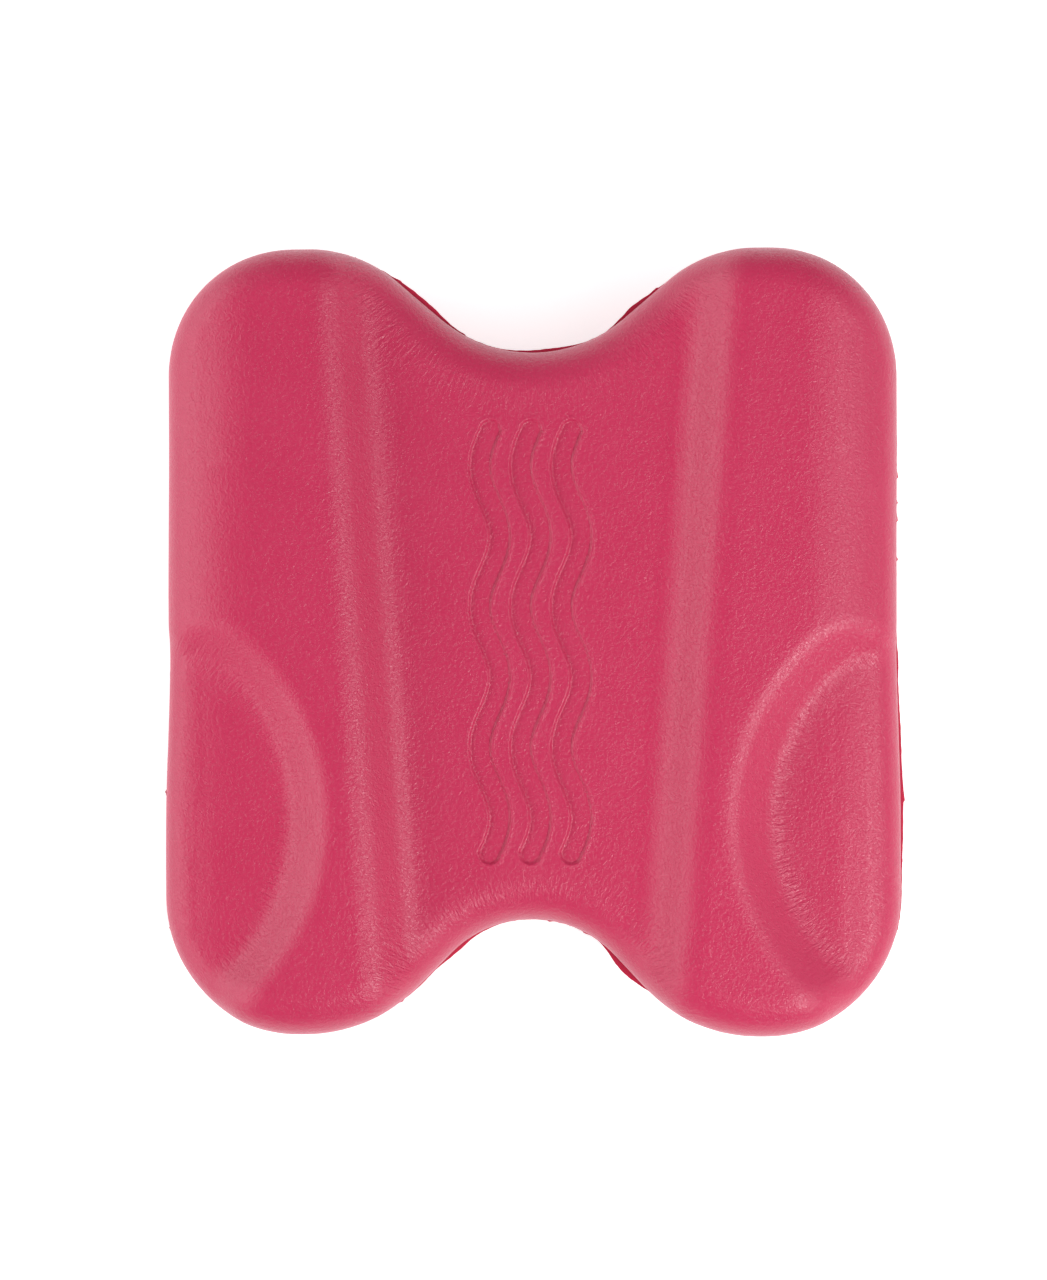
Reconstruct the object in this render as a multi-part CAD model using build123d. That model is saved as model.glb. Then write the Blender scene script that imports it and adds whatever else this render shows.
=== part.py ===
"""Pull buoy and kickboard in one: two moulded EVA foam halves bonded face to face.

Millimetres. The buoy lies on the lobes of its rear half. The origin is under its middle,
+X runs across the lobes, +Y along them to the wide notch, and +Z out of the front face.
Each half is modelled from the parting plane up and one side of the middle plane, then
mirrored, because the moulds are symmetrical.
"""
import os
from math import radians, sin, sqrt, tan

from build123d import *

# Overall sizes
LENGTH = 280.0  # from the tips of the lobes at one end to the tips at the other
SHOULDER_WIDTH = 260.2  # across the sides, beside the wide notch
SIDE_FLARE = 1.6  # how much further out each side stands at the hand grips
THICKNESS = 60.0  # over both crowns
WEB_THICKNESS = 36.0  # over the flat web between the lobes

# Outline: the sides flare out a little towards the grips
FLARE_START_Y = -5.0
FLARE_END_Y = -55.0
FLARE_ROUND = 400.0
TOP_CORNER_ROUND = 45.0
BOTTOM_CORNER_ROUND = 48.5

# Outline: the notch that the legs or the forearms meet, at each end of the web
TOP_NOTCH_DEPTH = 36.3
TOP_NOTCH_SLOPE = 40.4  # degrees that its flanks rise at
TOP_NOTCH_FLOOR_ROUND = 50.3
TOP_NOTCH_TIP_ROUND = 45.0
BOTTOM_NOTCH_DEPTH = 40.6
BOTTOM_NOTCH_SLOPE = 45.3  # degrees
BOTTOM_NOTCH_FLOOR_ROUND = 40.5
BOTTOM_NOTCH_TIP_ROUND = 56.0

# Relief of a half: rolled rim, shoulders that fall to the sides, tapering valley
RIM_ROUND = 15.0
SHOULDER_FALL = 34.2  # from the side in to where the crown becomes flat
SHOULDER_ROUND = 50.0
VALLEY_WIDTH = 112.6  # between the middles of its two slopes, halfway along
VALLEY_TAPER = 4.0  # degrees that each slope leans in towards the narrow notch
VALLEY_SLOPE = 38.7  # degrees
VALLEY_EASE = 3.0  # how much rounder the valley's feet and lips are than the rim

# Hand grips: a round-ended dish sunk into each side
GRIP_Y = -63.0
GRIP_REACH = 45.5  # from the side in to the foot of the dish's wall
GRIP_FOOT_RADIUS = 72.0
GRIP_DEPTH = 11.2  # below the crown
GRIP_SLOPE = 38.0  # degrees
GRIP_ROUND = 12.0  # at the foot, the lip and the rim of the dish
GRIP_FALL = 26.7  # from the side in to where the dish's floor becomes flat
GRIP_FALL_ROUND = 60.0

# Seam between the halves
FILM = 0.6  # adhesive film, and the trimmed skin round it
SKIN_INSIDE = 4.0  # how far the trimmed skin runs in between the halves
SKIN_OUTSIDE = 1.2  # how far it stands proud of the side

# Wave motif pressed into the front web
WAVE_COUNT = 3
WAVE_PITCH = 14.5
WAVE_BAR = 8.0
WAVE_LENGTH = 50.0
WAVE_SWING = 13.5  # between the sharp corners that the bends round off
WAVE_REPEATS = 3
WAVE_BEND = 24.0
WAVE_DEPTH = 1.0

half_height = (THICKNESS - FILM) / 2
web_height = (WEB_THICKNESS - FILM) / 2
rim_share = 0.85  # of the web's height that the rim may roll over
rim_round = min(RIM_ROUND, rim_share * web_height)
shoulder_x = SHOULDER_WIDTH / 2
grip_x = shoulder_x + SIDE_FLARE
tip_y = LENGTH / 2
margin = 20.0  # how far the cutting solids run past the foam
arc_share = 0.9  # of a fall's radius that its arc may run out
side_share = 0.98  # of a side of the outline that the rounds at its two ends may take
tiny = 0.001


def fitted_rounds(points, rounds):
    """Return the rounds of a polyline's corners, held within the sides they share."""
    spans = [points[i + 1] - points[i] for i in range(len(points) - 1)]
    turns = [radians(spans[i].get_angle(spans[i + 1])) for i in range(len(rounds))]
    tangents = [0.0] + [r * tan(t / 2) for r, t in zip(rounds, turns)] + [0.0]
    room = []
    for i, span in enumerate(spans):
        taken = tangents[i] + tangents[i + 1]
        room.append(min(1.0, side_share * span.length / taken))
    return [r * min(room[i], room[i + 1]) for i, r in enumerate(rounds)]


def notch_mouth(depth, slope, floor_round):
    """Return how far from the middle plane a notch's flank reaches the tip of its lobe."""
    return floor_round * tan(radians(slope / 2)) + depth / tan(radians(slope))


def side_line():
    """Return the outline of the +X side, from the top notch round to the bottom notch."""
    top_centre = (0, tip_y - TOP_NOTCH_DEPTH + TOP_NOTCH_FLOOR_ROUND)
    bottom_centre = (0, BOTTOM_NOTCH_DEPTH - tip_y - BOTTOM_NOTCH_FLOOR_ROUND)
    top_floor = CenterArc(top_centre, TOP_NOTCH_FLOOR_ROUND, -90, TOP_NOTCH_SLOPE)
    bottom_floor = CenterArc(
        bottom_centre, BOTTOM_NOTCH_FLOOR_ROUND, 90 - BOTTOM_NOTCH_SLOPE, BOTTOM_NOTCH_SLOPE
    )
    top_mouth = notch_mouth(TOP_NOTCH_DEPTH, TOP_NOTCH_SLOPE, TOP_NOTCH_FLOOR_ROUND)
    bottom_mouth = notch_mouth(BOTTOM_NOTCH_DEPTH, BOTTOM_NOTCH_SLOPE, BOTTOM_NOTCH_FLOOR_ROUND)
    corners = [
        (top_mouth, tip_y, TOP_NOTCH_TIP_ROUND),
        (shoulder_x, tip_y, TOP_CORNER_ROUND),
        (shoulder_x, FLARE_START_Y, FLARE_ROUND),
        (grip_x, FLARE_END_Y, FLARE_ROUND),
        (grip_x, -tip_y, BOTTOM_CORNER_ROUND),
        (bottom_mouth, -tip_y, BOTTOM_NOTCH_TIP_ROUND),
    ]
    points = [top_floor @ 1] + [Vector(x, y) for x, y, _ in corners] + [bottom_floor @ 0]
    rounds = fitted_rounds(points, [r for _, _, r in corners])
    side = FilletPolyline(*points, radius=rounds)
    return Wire(top_floor.edges() + side.edges() + bottom_floor.edges())


def across_and_along(face):
    """Return a solid with the given XY profile stood up across X and run along Y."""
    return extrude(Plane.XZ * face, amount=LENGTH, both=True)


def falling_profile(level, flat_end, fall_round, base):
    """Return a profile that is flat at the level, then falls outwards on one arc."""
    run = min(grip_x + margin - flat_end, arc_share * fall_round)

    def on_arc(x):
        return (flat_end + x, level - fall_round + sqrt(fall_round ** 2 - x ** 2))

    arc = ThreePointArc(on_arc(0), on_arc(run / 2), on_arc(run))
    far_x, far_z = on_arc(run)
    rest = Polyline((far_x, far_z), (far_x, base), (-margin, base), (-margin, level), on_arc(0))
    return make_face(arc.edges() + rest.edges())


def valley_side():
    """Return the solid under the web, one slope of the valley and the crown."""
    run = (half_height - web_height) / tan(radians(VALLEY_SLOPE))
    floor_end = (-LENGTH, web_height)
    crown_end = (LENGTH, half_height)
    foot = (-run / 2, web_height)
    lip = (run / 2, half_height)
    top = FilletPolyline(floor_end, foot, lip, crown_end, radius=rim_round + VALLEY_EASE)
    rest = Polyline(crown_end, (LENGTH, -margin), (-LENGTH, -margin), floor_end)
    solid = across_and_along(make_face(top.edges() + rest.edges()))
    return Pos(X=VALLEY_WIDTH / 2) * Rot(Z=-VALLEY_TAPER) * solid


def grip_tool():
    """Return the solid that sinks one hand grip: a cone above a falling floor."""
    floor = half_height - GRIP_DEPTH
    spread = 1 / tan(radians(GRIP_SLOPE))
    low = -margin
    high = half_height + margin
    low_radius = GRIP_FOOT_RADIUS + (low - floor) * spread
    high_radius = GRIP_FOOT_RADIUS + (high - floor) * spread
    section = Polyline((0, low), (low_radius, low), (high_radius, high), (0, high), close=True)
    cone = revolve(Plane.XZ * make_face(section), axis=Axis.Z)
    centre_x = grip_x - GRIP_REACH + GRIP_FOOT_RADIUS
    kept_foam = falling_profile(floor, grip_x - GRIP_FALL, GRIP_FALL_ROUND, low - margin)
    cone = Pos(centre_x, GRIP_Y) * cone
    tool = cone - across_and_along(kept_foam)
    foot = new_edges(cone, combined=tool).filter_by(GeomType.LINE, reverse=True)
    return fillet(foot.filter_by(lambda e: (e @ 0.5).X < grip_x), GRIP_ROUND)


def quarter_half(outline):
    """Return one side of a half, from the parting plane up, with its grip sunk in."""
    blank = extrude(make_face(outline.edges() + Line(outline @ 1, outline @ 0).edges()), THICKNESS)
    crown = falling_profile(half_height, shoulder_x - SHOULDER_FALL, SHOULDER_ROUND, -margin)
    blank = blank & across_and_along(crown) & valley_side()
    walls = blank.faces().filter_by(lambda f: abs(f.normal_at().Z) < tiny and f.center().X > tiny)
    rim = walls.edges().filter_by(Axis.Z, reverse=True).filter_by(lambda e: (e @ 0.5).Z > tiny)
    rolled = fillet(rim, rim_round)
    tool = grip_tool()
    sunk = rolled - tool
    return fillet(new_edges(rolled, tool, combined=sunk), GRIP_ROUND)


def both_sides(solid):
    """Return a solid joined to its mirror image across the middle plane."""
    return (solid + mirror(solid, about=Plane.YZ)).clean()


def wave_bar(middle):
    """Return the flat outline of one bar of the wave motif, with round ends."""
    bends = 2 * WAVE_REPEATS
    start = Vector(middle, -WAVE_REPEATS * WAVE_LENGTH / 2)
    points = [start]
    for i in range(bends):
        points.append(start + Vector(WAVE_SWING / 2 * (-1) ** i, (i + 0.5) * WAVE_LENGTH / 2))
    points.append(start + Vector(0, WAVE_REPEATS * WAVE_LENGTH))
    rounds = fitted_rounds(points, [WAVE_BEND] * bends)
    bar = trace(FilletPolyline(*points, radius=rounds), WAVE_BAR)
    ends = [Pos(p.X, p.Y) * Circle(WAVE_BAR / 2) for p in (points[0], points[-1])]
    return bar + ends


def plain_half():
    """Return a whole half on the parting plane, with a bare web."""
    return both_sides(quarter_half(side_line()))


def front_half(half):
    """Return the half that faces up, with the wave motif pressed into its web."""
    floor = Pos(Z=web_height - WAVE_DEPTH)
    for i in range(WAVE_COUNT):
        middle = (i - (WAVE_COUNT - 1) / 2) * WAVE_PITCH
        half = half - floor * extrude(wave_bar(middle), 2 * WAVE_DEPTH)
    return Pos(Z=(THICKNESS + FILM) / 2) * half


def rear_half(half):
    """Return the half that faces down: the same relief without the motif."""
    return Pos(Z=(THICKNESS - FILM) / 2) * mirror(half, about=Plane.XY)


def seam_layer(outline):
    """Return a layer of the seam's thickness between the halves."""
    return Pos(Z=(THICKNESS - FILM) / 2) * extrude(outline, FILM)


right = side_line()
plan = make_face(right.edges() + mirror(right, about=Plane.YZ).edges())
film_outline = offset(plan, -SKIN_INSIDE)
half = plain_half()

parts = {
    "front_half": front_half(half),
    "rear_half": rear_half(half),
    "bond_film": seam_layer(film_outline),
    "trimmed_flash": seam_layer(offset(plan, SKIN_OUTSIDE) - film_outline),
}

os.makedirs("parts", exist_ok=True)
for name, shape in parts.items():
    export_step(shape, f"parts/{name}.step")
    size = shape.bounding_box().size
    print(f"{name}: {len(shape.solids())} solid, {shape.volume / 1000:.1f} cm3, "
          f"{size.X:.1f} x {size.Y:.1f} x {size.Z:.1f} mm")
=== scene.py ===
# %% [markdown]
# # A moulded foam pull buoy
# This notebook dresses a pull buoy, the float that a swimmer holds between the thighs or under
# the hands. The real one is two blocks of EVA foam, pressed hot in a mould so that each gets a
# closed, leathery skin, then bonded face to face and trimmed with a knife along the seam.
# The measured model is loaded first, and places and sizes are read from it, in metres:
# +X runs across the lobes, +Y along them to the wide notch, and +Z out of the front face.

# %% Load the measured model
import math
import random

import bpy
import numpy as np
from mathutils import Matrix, Vector, noise


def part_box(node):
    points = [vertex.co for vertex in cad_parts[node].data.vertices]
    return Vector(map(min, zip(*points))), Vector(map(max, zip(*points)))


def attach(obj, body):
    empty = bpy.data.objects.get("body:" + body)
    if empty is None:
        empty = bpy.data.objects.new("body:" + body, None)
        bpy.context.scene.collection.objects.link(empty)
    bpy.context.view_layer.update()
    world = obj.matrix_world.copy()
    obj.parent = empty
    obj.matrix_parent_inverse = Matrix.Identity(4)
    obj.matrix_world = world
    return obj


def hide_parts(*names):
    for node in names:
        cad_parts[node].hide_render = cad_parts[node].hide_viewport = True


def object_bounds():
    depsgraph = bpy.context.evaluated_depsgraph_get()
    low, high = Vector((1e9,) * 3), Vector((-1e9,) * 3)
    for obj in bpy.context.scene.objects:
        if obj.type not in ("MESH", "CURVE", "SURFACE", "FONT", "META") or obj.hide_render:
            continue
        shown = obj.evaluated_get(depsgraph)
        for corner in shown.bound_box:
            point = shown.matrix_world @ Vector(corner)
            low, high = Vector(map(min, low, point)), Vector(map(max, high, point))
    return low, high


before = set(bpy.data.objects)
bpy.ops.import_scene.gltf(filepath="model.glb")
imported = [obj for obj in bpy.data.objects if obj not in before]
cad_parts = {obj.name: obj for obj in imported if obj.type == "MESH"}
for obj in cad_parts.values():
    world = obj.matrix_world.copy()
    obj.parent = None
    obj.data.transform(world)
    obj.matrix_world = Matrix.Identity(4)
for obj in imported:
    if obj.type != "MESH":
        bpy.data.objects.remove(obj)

MM = 0.001
cad_box = [list(corner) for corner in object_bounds()]
print("nodes:", sorted(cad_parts))
print("box in mm:", [[round(value / MM, 1) for value in corner] for corner in cad_box])

# %% [markdown]
# ## Helpers for nodes
# Hex colours are written as a designer picks them, in sRGB, but Blender mixes light in linear
# values, so one function converts them. Another adds a shader node with its settings, and links
# any input that is given as a socket. A third starts a material and hands back its parts.

# %% Colour and node helpers
def linear(hex_colour):
    """Return the linear RGBA value of an sRGB hex colour."""
    channels = [int(hex_colour[i:i + 2], 16) / 255 for i in (0, 2, 4)]
    curve = [c / 12.92 if c <= 0.04045 else ((c + 0.055) / 1.055) ** 2.4 for c in channels]
    return (*curve, 1.0)


def add(tree, kind, settings=None, inputs=None):
    """Add a node, set its properties, and set or link its inputs by name or number."""
    node = tree.nodes.new(kind)
    for name, value in (settings or {}).items():
        setattr(node, name, value)
    for key, value in (inputs or {}).items():
        if isinstance(value, bpy.types.NodeSocket):
            tree.links.new(value, node.inputs[key])
        else:
            node.inputs[key].default_value = value
    return node


def new_material(name, roughness, ior):
    """Return a material with its tree, its shader and the Object coordinates."""
    material = bpy.data.materials.new(name)
    material.use_nodes = True
    tree = material.node_tree
    shader = tree.nodes["Principled BSDF"]
    shader.inputs["Roughness"].default_value = roughness
    shader.inputs["IOR"].default_value = ior
    place = add(tree, "ShaderNodeTexCoord").outputs["Object"]
    return material, tree, shader, place


# %% [markdown]
# ## Helpers for meshes
# An operator acts on whatever is selected, and the measured model arrives selected, so each
# piece is selected alone before it is worked on. A measured node is loose triangles, so a copy
# has its doubles merged. Vertices are read and written as one array, which is quick.

# %% Mesh helpers
def select_only(piece):
    """Leave object mode with this piece alone selected and active."""
    if bpy.context.mode != "OBJECT":
        bpy.ops.object.mode_set(mode="OBJECT")
    bpy.ops.object.select_all(action="DESELECT")
    piece.select_set(True)
    bpy.context.view_layer.objects.active = piece


def select_faces(piece, chosen):
    """Enter edit mode with only the chosen faces of this piece selected."""
    select_only(piece)
    bpy.ops.object.mode_set(mode="EDIT")
    bpy.ops.mesh.select_mode(type="FACE")
    bpy.ops.mesh.select_all(action="DESELECT")
    bpy.ops.object.mode_set(mode="OBJECT")
    piece.data.polygons.foreach_set("select", chosen)
    bpy.ops.object.mode_set(mode="EDIT")


def faces_of(piece, point_chosen):
    """Return which faces have only chosen vertices."""
    return [all(point_chosen[i] for i in face.vertices) for face in piece.data.polygons]


def copy_of(node, name):
    """Return a copy of a measured node with its own mesh and its doubles merged."""
    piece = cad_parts[node].copy()
    piece.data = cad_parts[node].data.copy()
    piece.name = name
    piece.data.materials.clear()
    bpy.context.scene.collection.objects.link(piece)
    select_only(piece)
    bpy.ops.object.mode_set(mode="EDIT")
    bpy.ops.mesh.select_all(action="SELECT")
    bpy.ops.mesh.remove_doubles(threshold=0.01 * MM)
    bpy.ops.object.mode_set(mode="OBJECT")
    return piece


def points_of(piece):
    """Return the piece's vertices as an array with a row for each."""
    flat = np.empty(3 * len(piece.data.vertices))
    piece.data.vertices.foreach_get("co", flat)
    return flat.reshape(-1, 3)


def place_points(piece, points):
    """Move the piece's vertices to the rows of an array."""
    piece.data.vertices.foreach_set("co", points.ravel())
    piece.data.update()


def smooth_step(low, high, values):
    """Return 0 below low, 1 above high and an S-shaped curve between."""
    share = np.clip((values - low) / (high - low), 0, 1)
    return share * share * (3 - 2 * share)


# %% [markdown]
# ## Places on the buoy
# The seam, the web and the crowns are read from the measured halves. The web is the flat land
# between the lobes, and the wave motif is pressed into its front.

# %% Measure the halves
front_points = points_of(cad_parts["front_half"])
seam_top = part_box("front_half")[0][2]
seam_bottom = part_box("rear_half")[1][2]
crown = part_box("front_half")[1][2]
WEB_HALF_WIDTH = 30 * MM
WEB_HALF_LENGTH = 84 * MM


def on_web(points):
    """Return which points lie over the part of the web that carries the motif."""
    return (abs(points[:, 0]) < WEB_HALF_WIDTH) & (abs(points[:, 1]) < WEB_HALF_LENGTH)


web = front_points[on_web(front_points)][:, 2].max()
print(f"seam {seam_bottom / MM:.1f} to {seam_top / MM:.1f}, web {web / MM:.1f}, crown {crown / MM:.1f} mm")

# %% [markdown]
# ## The seam line
# The skin that the knife leaves along the seam follows the buoy's side line. The front half's
# flat underside has vertices only on that line, and every point of it is seen from the middle,
# so sorting them by their angle puts them in order. They are then spaced out evenly.

# %% Read the side line
SEAM_STEP = 0.7 * MM


def seam_line():
    """Return evenly spaced points on the side line, anticlockwise, and its outward normals."""
    low = front_points[front_points[:, 2] < seam_top + 0.01 * MM][:, :2]
    angles, first = np.unique(np.arctan2(low[:, 1], low[:, 0]).round(5), return_index=True)
    loop = low[first]
    loop = np.vstack([loop, loop[:1]])
    travelled = np.concatenate([[0], np.cumsum(np.hypot(*np.diff(loop, axis=0).T))])
    even = np.arange(0, travelled[-1] - SEAM_STEP / 2, SEAM_STEP)
    line = np.column_stack([np.interp(even, travelled, loop[:, i]) for i in (0, 1)])
    along = np.roll(line, -2, axis=0) - np.roll(line, 2, axis=0)
    along /= np.hypot(*along.T)[:, None]
    return line, np.column_stack([along[:, 1], -along[:, 0]])


side_line, side_out = seam_line()
print("side line:", len(side_line), "points,", round(len(side_line) * SEAM_STEP / MM), "mm round")

# %% [markdown]
# ## Moulded EVA foam skin
# The real finish is cross-linked EVA foam against a sandblasted mould: a closed skin with a fine
# leathery grain, satin rather than glossy, that sparkles a little where light glances off it.
# Where the hot foam flowed round a tight curve the grain is drawn out into short wrinkles that
# point at the curve's centre. The grain is a bump made from distorted noise, and the wrinkles are
# noise read in polar coordinates round each curve, so that they fan out as the real ones do. The
# real grain is about half a millimetre wide, and is drawn coarser here so that it shows from a
# step away. The base colours are deeper than the buoy looks, because the sheen pales them.

# %% Sizes of the skin's grain
SKIN_PINK = "C01B4C"
SKIN_PALE = "C92B59"
GRAIN = 1.2 * MM
GRAIN_DEPTH = 0.34 * MM
MOTTLE = 22 * MM
WRINKLE_GAP = 1.1 * MM
WRINKLE_LENGTH = 5.5 * MM
WRINKLE_DEPTH = 0.35 * MM
PORE_SHARE = 0.55
SKIN_SHEEN = 0.65
ROUGHNESS_LOW = 0.30
ROUGHNESS_HIGH = 0.37
# For each tight curve: its centre, the way from it to the foam, and the radii between which the
# wrinkles come in, are strongest and have gone. The grips' curve is read on both sides by |x|.
CURVES = [
    {"x": 0.0, "y": 154.0 * MM, "turn": -90, "radii": (58 * MM, 64 * MM, 84 * MM)},
    {"x": 0.0, "y": -139.9 * MM, "turn": 90, "radii": (46 * MM, 51 * MM, 70 * MM)},
    {"x": 156.6 * MM, "y": -63.0 * MM, "turn": 180, "radii": (62 * MM, 68 * MM, 78 * MM)},
]


# %% Wrinkles round a tight curve
def wrinkles_round(tree, place, curve):
    """Return the height of the wrinkles that fan out round one curve, from 0 to 1."""
    apart = add(tree, "ShaderNodeSeparateXYZ", inputs={0: place})
    side = add(tree, "ShaderNodeMath", {"operation": "ABSOLUTE"}, {0: apart.outputs["X"]}).outputs[0]
    spot = add(tree, "ShaderNodeCombineXYZ", inputs={0: side, 1: apart.outputs["Y"]}).outputs[0]
    turned = add(tree, "ShaderNodeMapping", {"vector_type": "TEXTURE"},
                 {"Vector": spot, "Location": (curve["x"], curve["y"], 0),
                  "Rotation": (0, 0, math.radians(curve["turn"]))}).outputs[0]
    reach = add(tree, "ShaderNodeVectorMath", {"operation": "LENGTH"}, {0: turned}).outputs["Value"]
    ahead = add(tree, "ShaderNodeSeparateXYZ", inputs={0: turned})
    turn = add(tree, "ShaderNodeMath", {"operation": "ARCTAN2"},
               {0: ahead.outputs["Y"], 1: ahead.outputs["X"]}).outputs[0]
    start, full, end = curve["radii"]
    round_it = add(tree, "ShaderNodeMath", {"operation": "MULTIPLY"},
                   {0: turn, 1: full / WRINKLE_GAP}).outputs[0]
    outward = add(tree, "ShaderNodeMath", {"operation": "MULTIPLY"},
                  {0: reach, 1: 1 / WRINKLE_LENGTH}).outputs[0]
    fan = add(tree, "ShaderNodeCombineXYZ", inputs={0: round_it, 1: outward}).outputs[0]
    streaks = add(tree, "ShaderNodeTexNoise", {"noise_dimensions": "2D"},
                  {"Vector": fan, "Scale": 1.0, "Detail": 2.0, "Distortion": 0.4}).outputs["Fac"]
    rise = add(tree, "ShaderNodeMapRange", {"interpolation_type": "SMOOTHSTEP"},
               {"Value": reach, "From Min": start, "From Max": full}).outputs["Result"]
    fall = add(tree, "ShaderNodeMapRange", {"interpolation_type": "SMOOTHSTEP"},
               {"Value": reach, "From Min": full, "From Max": end, "To Min": 1.0, "To Max": 0.0})
    band = add(tree, "ShaderNodeMath", {"operation": "MULTIPLY"},
               {0: rise, 1: fall.outputs["Result"]}).outputs[0]
    return add(tree, "ShaderNodeMath", {"operation": "MULTIPLY"}, {0: streaks, 1: band}).outputs[0]


# %% Foam skin material
def foam_skin():
    """Return the satin, leathery skin of moulded EVA foam."""
    material, tree, shader, place = new_material("moulded_eva_foam_skin", roughness=0.38, ior=1.48)
    shader.inputs["Specular IOR Level"].default_value = SKIN_SHEEN
    grain = add(tree, "ShaderNodeTexNoise", inputs={"Vector": place, "Scale": 1 / GRAIN, "Detail": 3.0,
                                                    "Roughness": 0.6, "Distortion": 0.8}).outputs["Fac"]
    wrinkles = 0.0
    for curve in CURVES:
        wrinkles = add(tree, "ShaderNodeMath", {"operation": "ADD"},
                       {0: wrinkles_round(tree, place, curve), 1: wrinkles}).outputs[0]
    fine = add(tree, "ShaderNodeBump", inputs={"Strength": 1.0, "Distance": GRAIN_DEPTH, "Height": grain})
    relief = add(tree, "ShaderNodeBump", inputs={"Strength": 1.0, "Distance": WRINKLE_DEPTH,
                                                 "Height": wrinkles, "Normal": fine.outputs[0]})
    tree.links.new(relief.outputs[0], shader.inputs["Normal"])
    mottle = add(tree, "ShaderNodeTexNoise", inputs={"Vector": place, "Scale": 1 / MOTTLE, "Detail": 3.0})
    pores = add(tree, "ShaderNodeMix", {"data_type": "FLOAT"},
                {"Factor": PORE_SHARE, 2: mottle.outputs["Fac"], 3: grain}).outputs[0]
    tint = add(tree, "ShaderNodeMix", {"data_type": "RGBA"},
               {"Factor": pores, "A": linear(SKIN_PINK), "B": linear(SKIN_PALE)})
    tree.links.new(tint.outputs["Result"], shader.inputs["Base Color"])
    gloss = add(tree, "ShaderNodeMapRange", inputs={"Value": mottle.outputs["Fac"],
                                                    "To Min": ROUGHNESS_LOW,
                                                    "To Max": ROUGHNESS_HIGH}).outputs["Result"]
    tree.links.new(gloss, shader.inputs["Roughness"])
    return material


skin = foam_skin()
print("made", skin.name)

# %% [markdown]
# ## Trimmed skin and adhesive
# Along the seam a knife cuts through the thin web of squeezed foam that the mould leaves. The
# cut shows the foam's own colour, deeper and more matte than the pressed skin. The adhesive is
# a clear amber contact glue, hidden between the halves.

# %% Trimmed skin material
CUT_CRIMSON = "CC0F42"
CUT_DARK = "AE0B38"
KNIFE_MARKS = 0.8 * MM


def cut_skin():
    """Return the matte, deeper red of foam that a knife has cut."""
    material, tree, shader, place = new_material("knife_trimmed_eva", roughness=0.7, ior=1.48)
    marks = add(tree, "ShaderNodeTexNoise", inputs={"Vector": place, "Scale": 1 / KNIFE_MARKS, "Detail": 3.0})
    tint = add(tree, "ShaderNodeMix", {"data_type": "RGBA"},
               {"Factor": marks.outputs["Fac"], "A": linear(CUT_DARK), "B": linear(CUT_CRIMSON)})
    tree.links.new(tint.outputs["Result"], shader.inputs["Base Color"])
    bump = add(tree, "ShaderNodeBump", inputs={"Distance": 0.1 * MM, "Height": marks.outputs["Fac"]})
    tree.links.new(bump.outputs[0], shader.inputs["Normal"])
    return material


# %% Adhesive material
GLUE_AMBER = "D8B98C"
GLUE_BROWN = "B98F5E"
GLUE_STREAK = 3 * MM


def contact_glue():
    """Return the dried amber film of contact adhesive."""
    material, tree, shader, place = new_material("cured_contact_adhesive", roughness=0.35, ior=1.5)
    streaks = add(tree, "ShaderNodeTexNoise", inputs={"Vector": place, "Scale": 1 / GLUE_STREAK})
    tint = add(tree, "ShaderNodeMix", {"data_type": "RGBA"},
               {"Factor": streaks.outputs["Fac"], "A": linear(GLUE_AMBER), "B": linear(GLUE_BROWN)})
    tree.links.new(tint.outputs["Result"], shader.inputs["Base Color"])
    return material


glue = contact_glue()
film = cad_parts["bond_film"]
film.data.materials.clear()
film.data.materials.append(glue)
print("made", glue.name)

# %% [markdown]
# ## The foam halves
# Moulded foam has no corner that is truly sharp, and its lands are never quite flat. A copy of
# each measured half is remeshed into small even squares, smoothed, and moved a fraction of a
# millimetre by slow noise. EVA foam of this thickness is stiff, so it is shaped by moving its
# vertices rather than by cloth simulation. The bonded face is hidden and flat, so it is
# dissolved into one face and the triangles go to the side that shows.

# %% Helpers for the halves
VOXEL = 1.4 * MM
SMOOTHING_PASSES = 5
SWELL = 0.22 * MM
SWELL_SPREAD = 45 * MM


def fill_motif(piece):
    """Raise the measured motif's floor to the web, because it is pressed in finer later."""
    points = points_of(piece)
    sunk = on_web(points) & (points[:, 2] > web - 3 * MM) & (points[:, 2] < web)
    points[sunk, 2] = web
    place_points(piece, points)


def remesh(piece):
    """Turn the piece into small even squares."""
    select_only(piece)
    piece.data.remesh_voxel_size = VOXEL
    bpy.ops.object.voxel_remesh()


def soften(piece, bonded):
    """Smooth all but the bonded face, and swell the surface by slow noise."""
    points = points_of(piece)
    group = piece.vertex_groups.new(name="skin")
    loose = np.flatnonzero(abs(points[:, 2] - bonded) > VOXEL / 2)
    group.add(loose.tolist(), 1.0, "REPLACE")
    smoother = piece.modifiers.new("smoother", "SMOOTH")
    smoother.factor = 0.5
    smoother.iterations = SMOOTHING_PASSES
    smoother.vertex_group = group.name
    select_only(piece)
    bpy.ops.object.modifier_apply(modifier=smoother.name)
    piece.vertex_groups.clear()
    points = points_of(piece)
    normals = np.empty(3 * len(points))
    piece.data.vertex_normals.foreach_get("vector", normals)
    normals = normals.reshape(-1, 3)
    swell = np.array([noise.noise(Vector(point) / SWELL_SPREAD) for point in points]) * SWELL
    swell *= smooth_step(0, 6 * MM, abs(points[:, 2] - bonded))
    place_points(piece, points + normals * swell[:, None])


def dissolve_bonded_face(piece, bonded):
    """Merge the hidden bonded face into one flat face."""
    points = points_of(piece)
    near = abs(points[:, 2] - bonded) < VOXEL / 2
    select_faces(piece, faces_of(piece, near))
    bpy.ops.mesh.dissolve_faces()
    bpy.ops.object.mode_set(mode="OBJECT")


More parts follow.
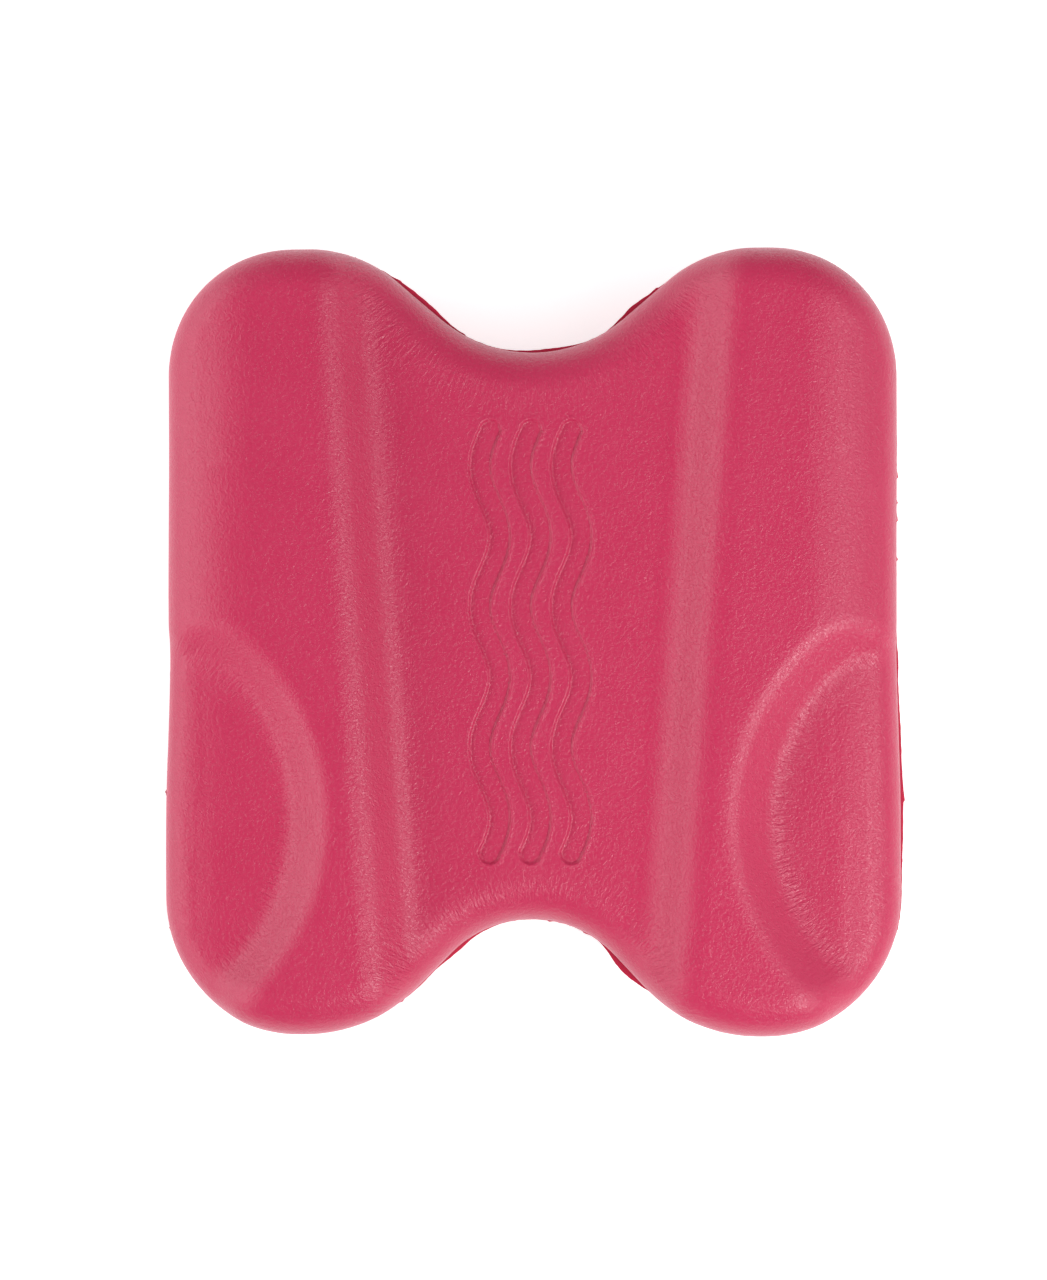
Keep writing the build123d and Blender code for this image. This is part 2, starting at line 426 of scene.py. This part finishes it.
# %% Build both halves
def foam_half(node, name, bonded):
    """Return one foam half, remeshed and softened from its measured node."""
    piece = copy_of(node, name)
    fill_motif(piece)
    remesh(piece)
    soften(piece, bonded)
    dissolve_bonded_face(piece, bonded)
    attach(piece, "root")
    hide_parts(node)
    piece.data.materials.append(skin)
    print(name, len(piece.data.polygons), "faces")
    return piece


front = foam_half("front_half", "front_foam", seam_top)
rear = foam_half("rear_half", "rear_foam", seam_bottom)

# %% [markdown]
# ## The pressed wave motif
# The front mould carries raised bars, so the web has three parallel waves pressed 1 mm into it,
# with flat floors, crisp edges and a faint ridge where the foam was pushed aside. The squares
# over the web are divided finer, and each vertex is then lowered by its distance from the
# nearest bar's edge, which gives an even edge all the way round.

# %% Press the motif
WAVE_COUNT = 3
WAVE_PITCH = 14.5 * MM
WAVE_BAR = 8.0 * MM
WAVE_LENGTH = 50.0 * MM
WAVE_SWING = 3.5 * MM
WAVE_HALF = 75.0 * MM
WAVE_DEPTH = 1.1 * MM
WALL = 0.4 * MM
RIDGE = 0.2 * MM
MOTIF_EDGE = 2.5 * MM
RIDGE_SPREAD = 0.5 * MM


def divide_web(piece):
    """Divide the squares under the waves into three by three."""
    points = points_of(piece)
    across = abs(points[:, 0]) < WAVE_PITCH + WAVE_SWING + WAVE_BAR / 2 + MOTIF_EDGE
    along = abs(points[:, 1]) < WAVE_HALF + WAVE_BAR / 2 + MOTIF_EDGE
    over = across & along & (points[:, 2] > web - 2 * MM)
    select_faces(piece, faces_of(piece, over))
    bpy.ops.mesh.subdivide(number_cuts=2)
    bpy.ops.object.mode_set(mode="OBJECT")


def from_bar_edge(points, middle):
    """Return each point's distance from one wave bar's edge, negative inside the bar."""
    phase = 2 * math.pi / WAVE_LENGTH
    along = np.clip(points[:, 1], -WAVE_HALF, WAVE_HALF)
    centre = middle + WAVE_SWING * np.sin(phase * (along + WAVE_HALF))
    slope = WAVE_SWING * phase * np.cos(phase * (along + WAVE_HALF))
    past_end = points[:, 1] - along
    across = (points[:, 0] - centre) / np.sqrt(1 + slope ** 2 * (past_end == 0))
    return np.hypot(across, past_end) - WAVE_BAR / 2


def press_motif(piece):
    """Lower the web inside the wave bars, with a faint ridge round them."""
    points = points_of(piece)
    over = on_web(points) & (points[:, 2] > web - 2 * MM)
    middles = [(i - (WAVE_COUNT - 1) / 2) * WAVE_PITCH for i in range(WAVE_COUNT)]
    edge = np.min([from_bar_edge(points, middle) for middle in middles], axis=0)
    drop = WAVE_DEPTH * (1 - smooth_step(-WALL, 0, edge))
    ridge = RIDGE * np.exp(-((edge - RIDGE_SPREAD) / RIDGE_SPREAD) ** 2)
    points[over, 2] += (ridge - drop)[over]
    place_points(piece, points)


divide_web(front)
press_motif(front)
for piece in (front, rear):
    select_only(piece)
    bpy.ops.object.shade_smooth_by_angle(angle=math.radians(50))
print("front_foam with its motif:", len(front.data.polygons), "faces")

# %% [markdown]
# ## The trimmed skin along the seam
# The knife never follows the seam exactly. It leaves a ragged line of thin skin, a hair wide in
# one place and a few millimetres in another, with small torn tags. The strip is built as one
# closed band round the side line: each section has its hidden root, a hinge at the foam's edge
# and a free edge that wanders out and curls a little.

# %% Width of the trimmed skin
SKIN_ROOT = 3.6 * MM
SKIN_THICK = 0.5 * MM
SKIN_EDGE = 0.22 * MM
SKIN_LEAST = 0.25 * MM
SKIN_WANDER = 0.55 * MM
SKIN_TREMBLE = 0.15 * MM
WANDER_SPREAD = 14 * MM
TREMBLE_SPREAD = 2.5 * MM
CURL_SPREAD = 9 * MM
SKIN_CURL = 0.3 * MM
TAG_COUNT = 30
# Where the knife ran wide: the middle of the stretch, its half length and its width, in mm
WIDE_CUTS = [
    (38, -113, 17, 2.9), (-30, -108, 12, 1.2), (-42, 119, 22, 1.4), (38, 119, 16, 1.1),
    (4, 104, 16, 0.9), (132, -50, 70, 0.7), (-130, 5, 24, 0.5),
]


def skin_width():
    """Return how far the trimmed skin stands out at each point of the side line."""
    dice = random.Random(11)
    width = np.full(len(side_line), SKIN_LEAST)
    for i, (x, y) in enumerate(side_line):
        slow = noise.noise(Vector((x, y, 0)) / WANDER_SPREAD)
        quick = noise.noise(Vector((x, y, 7)) / TREMBLE_SPREAD)
        width[i] += SKIN_WANDER * max(0, slow) + SKIN_TREMBLE * quick
    for x, y, half, wide in WIDE_CUTS:
        away = np.hypot(side_line[:, 0] - x * MM, side_line[:, 1] - y * MM) / (half * MM)
        width += wide * MM * (1 - smooth_step(0, 1, away))
    for _ in range(TAG_COUNT):
        start = dice.randrange(len(side_line))
        length = dice.randint(2, 7)
        height = dice.uniform(0.15, 0.6) * MM
        for step in range(length):
            width[(start + step) % len(side_line)] += height * (1 - step / length)
    return np.clip(width, 0.05 * MM, None)


# %% Build the trimmed skin
def trimmed_skin():
    """Return the ragged band of skin round the seam as one closed mesh."""
    width = skin_width()
    middle = (seam_top + seam_bottom) / 2
    curl = np.array([noise.noise(Vector((x, y, 3)) / CURL_SPREAD) for x, y in side_line]) * SKIN_CURL
    reaches = [np.full(len(width), -SKIN_ROOT), np.full(len(width), -0.4 * MM), 0.55 * width, width]
    halves = [SKIN_THICK / 2, SKIN_THICK / 2, SKIN_THICK / 2, SKIN_EDGE / 2]
    lifts = [0 * curl, 0 * curl, 0.5 * curl, curl]
    rows = [(r, lift + h) for r, h, lift in zip(reaches, halves, lifts)]
    rows += [(r, lift - h) for r, h, lift in zip(reaches[::-1], halves[::-1], lifts[::-1])]
    rings = []
    for reach, height in rows:
        flat = side_line + side_out * reach[:, None]
        rings.append(np.column_stack([flat, middle + height]))
    points = np.concatenate(rings)
    count = len(side_line)
    faces = []
    for row in range(len(rows)):
        this, after = row * count, (row + 1) % len(rows) * count
        for i in range(count):
            j = (i + 1) % count
            faces.append((this + i, this + j, after + j, after + i))
    mesh = bpy.data.meshes.new("seam_flash")
    mesh.from_pydata(points.tolist(), [], faces)
    piece = bpy.data.objects.new("seam_flash", mesh)
    bpy.context.scene.collection.objects.link(piece)
    select_only(piece)
    bpy.ops.object.mode_set(mode="EDIT")
    bpy.ops.mesh.select_all(action="SELECT")
    bpy.ops.mesh.normals_make_consistent(inside=False)
    bpy.ops.object.mode_set(mode="OBJECT")
    bpy.ops.object.shade_smooth_by_angle(angle=math.radians(35))
    piece.data.materials.append(cut_skin())
    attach(piece, "root")
    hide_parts("trimmed_flash")
    print("seam_flash:", len(faces), "faces, widest", round(width.max() / MM, 1), "mm")
    return piece


flash = trimmed_skin()

# %% [markdown]
# ## Floor
# The buoy lies on a white paper sweep. Its colour is near white, and rays that come straight
# from the camera or by reflection get a little more, so that the paper reads as white while the
# buoy's shadow still falls on it.

# %% White paper
PAPER = "F2F2F2"
PAPER_GLOW = 0.6


def paper_floor():
    """Return a wide sheet of white paper under the buoy."""
    bpy.ops.object.select_all(action="DESELECT")
    bpy.ops.mesh.primitive_plane_add(size=8, location=(0, 0, cad_box[0][2]))
    floor = bpy.context.object
    floor.name = "paper"
    material, tree, shader, _ = new_material("white_paper", roughness=0.9, ior=1.45)
    shader.inputs["Base Color"].default_value = linear(PAPER)
    shader.inputs["Emission Color"].default_value = (1, 1, 1, 1)
    rays = add(tree, "ShaderNodeLightPath")
    seen = add(tree, "ShaderNodeMath", {"operation": "ADD"},
               {0: rays.outputs["Is Camera Ray"], 1: rays.outputs["Is Glossy Ray"]}).outputs[0]
    glow = add(tree, "ShaderNodeMath", {"operation": "MULTIPLY", "use_clamp": True},
               {0: seen, 1: PAPER_GLOW}).outputs[0]
    tree.links.new(glow, shader.inputs["Emission Strength"])
    floor.data.materials.append(material)
    return floor


paper_floor()

# %% [markdown]
# ## Light
# The studio has a long soft box low on the left, which models the slopes gently, and a lower one
# on the right. A narrow strip above the right side draws a line of sheen along every rounded lip,
# as it does on real satin foam, and a small lamp near the right corner adds the glints there. The
# world fills the rest. Together they light a colour at about the value it is written with.

# %% Lamps and world
def soft_box(name, place, wide, long, watts):
    """Return a rectangular area lamp, long in Y, that points at the middle of the buoy."""
    data = bpy.data.lights.new(name, "AREA")
    data.shape = "RECTANGLE"
    data.size = wide
    data.size_y = long
    data.energy = watts
    lamp = bpy.data.objects.new(name, data)
    away = (Vector(place) - Vector((0, 0, (seam_top + seam_bottom) / 2))).normalized()
    across = Vector((0, 1, 0)).cross(away).normalized()
    lamp.matrix_world = Matrix((across, away.cross(across), away)).transposed().to_4x4()
    lamp.location = place
    bpy.context.scene.collection.objects.link(lamp)
    return lamp


soft_box("left_box", (-1.35, 0.10, 0.62), 0.9, 2.4, 18)
soft_box("right_box", (1.4, 0.0, 0.5), 0.8, 1.8, 2)
soft_box("strip_lamp", (0.85, -0.25, 1.08), 0.3, 1.8, 7.5)
soft_box("corner_lamp", (0.64, -0.64, 0.98), 0.3, 0.3, 6.5)
WORLD_LEVEL = 0.34
world = bpy.data.worlds.new("studio")
bpy.context.scene.world = world
world.use_nodes = True
world.node_tree.nodes["Background"].inputs["Color"].default_value = (1, 1, 1, 1)
world.node_tree.nodes["Background"].inputs["Strength"].default_value = WORLD_LEVEL

# %% [markdown]
# ## Camera
# The camera looks straight down at the front face from a step away, leaning a few degrees to
# the right. Its lens is worked out from the height that the picture has to show.

# %% Camera
DISTANCE = 1.5
LEAN = math.radians(2.6)
PICTURE_HEIGHT = 460 * MM
SENSOR = 24
aim = Vector((-3.3 * MM, 0.7 * MM, (seam_top + seam_bottom) / 2))
camera_data = bpy.data.cameras.new("camera")
camera_data.sensor_fit = "VERTICAL"
camera_data.sensor_height = SENSOR
camera_data.lens = SENSOR * DISTANCE / PICTURE_HEIGHT
camera = bpy.data.objects.new("camera", camera_data)
camera.location = aim + DISTANCE * Vector((math.sin(LEAN), 0, math.cos(LEAN)))
camera.rotation_euler = (0, LEAN, 0)
bpy.context.scene.collection.objects.link(camera)
bpy.context.scene.camera = camera
bpy.context.scene.view_settings.view_transform = "Standard"
print("lens:", round(camera_data.lens), "mm")
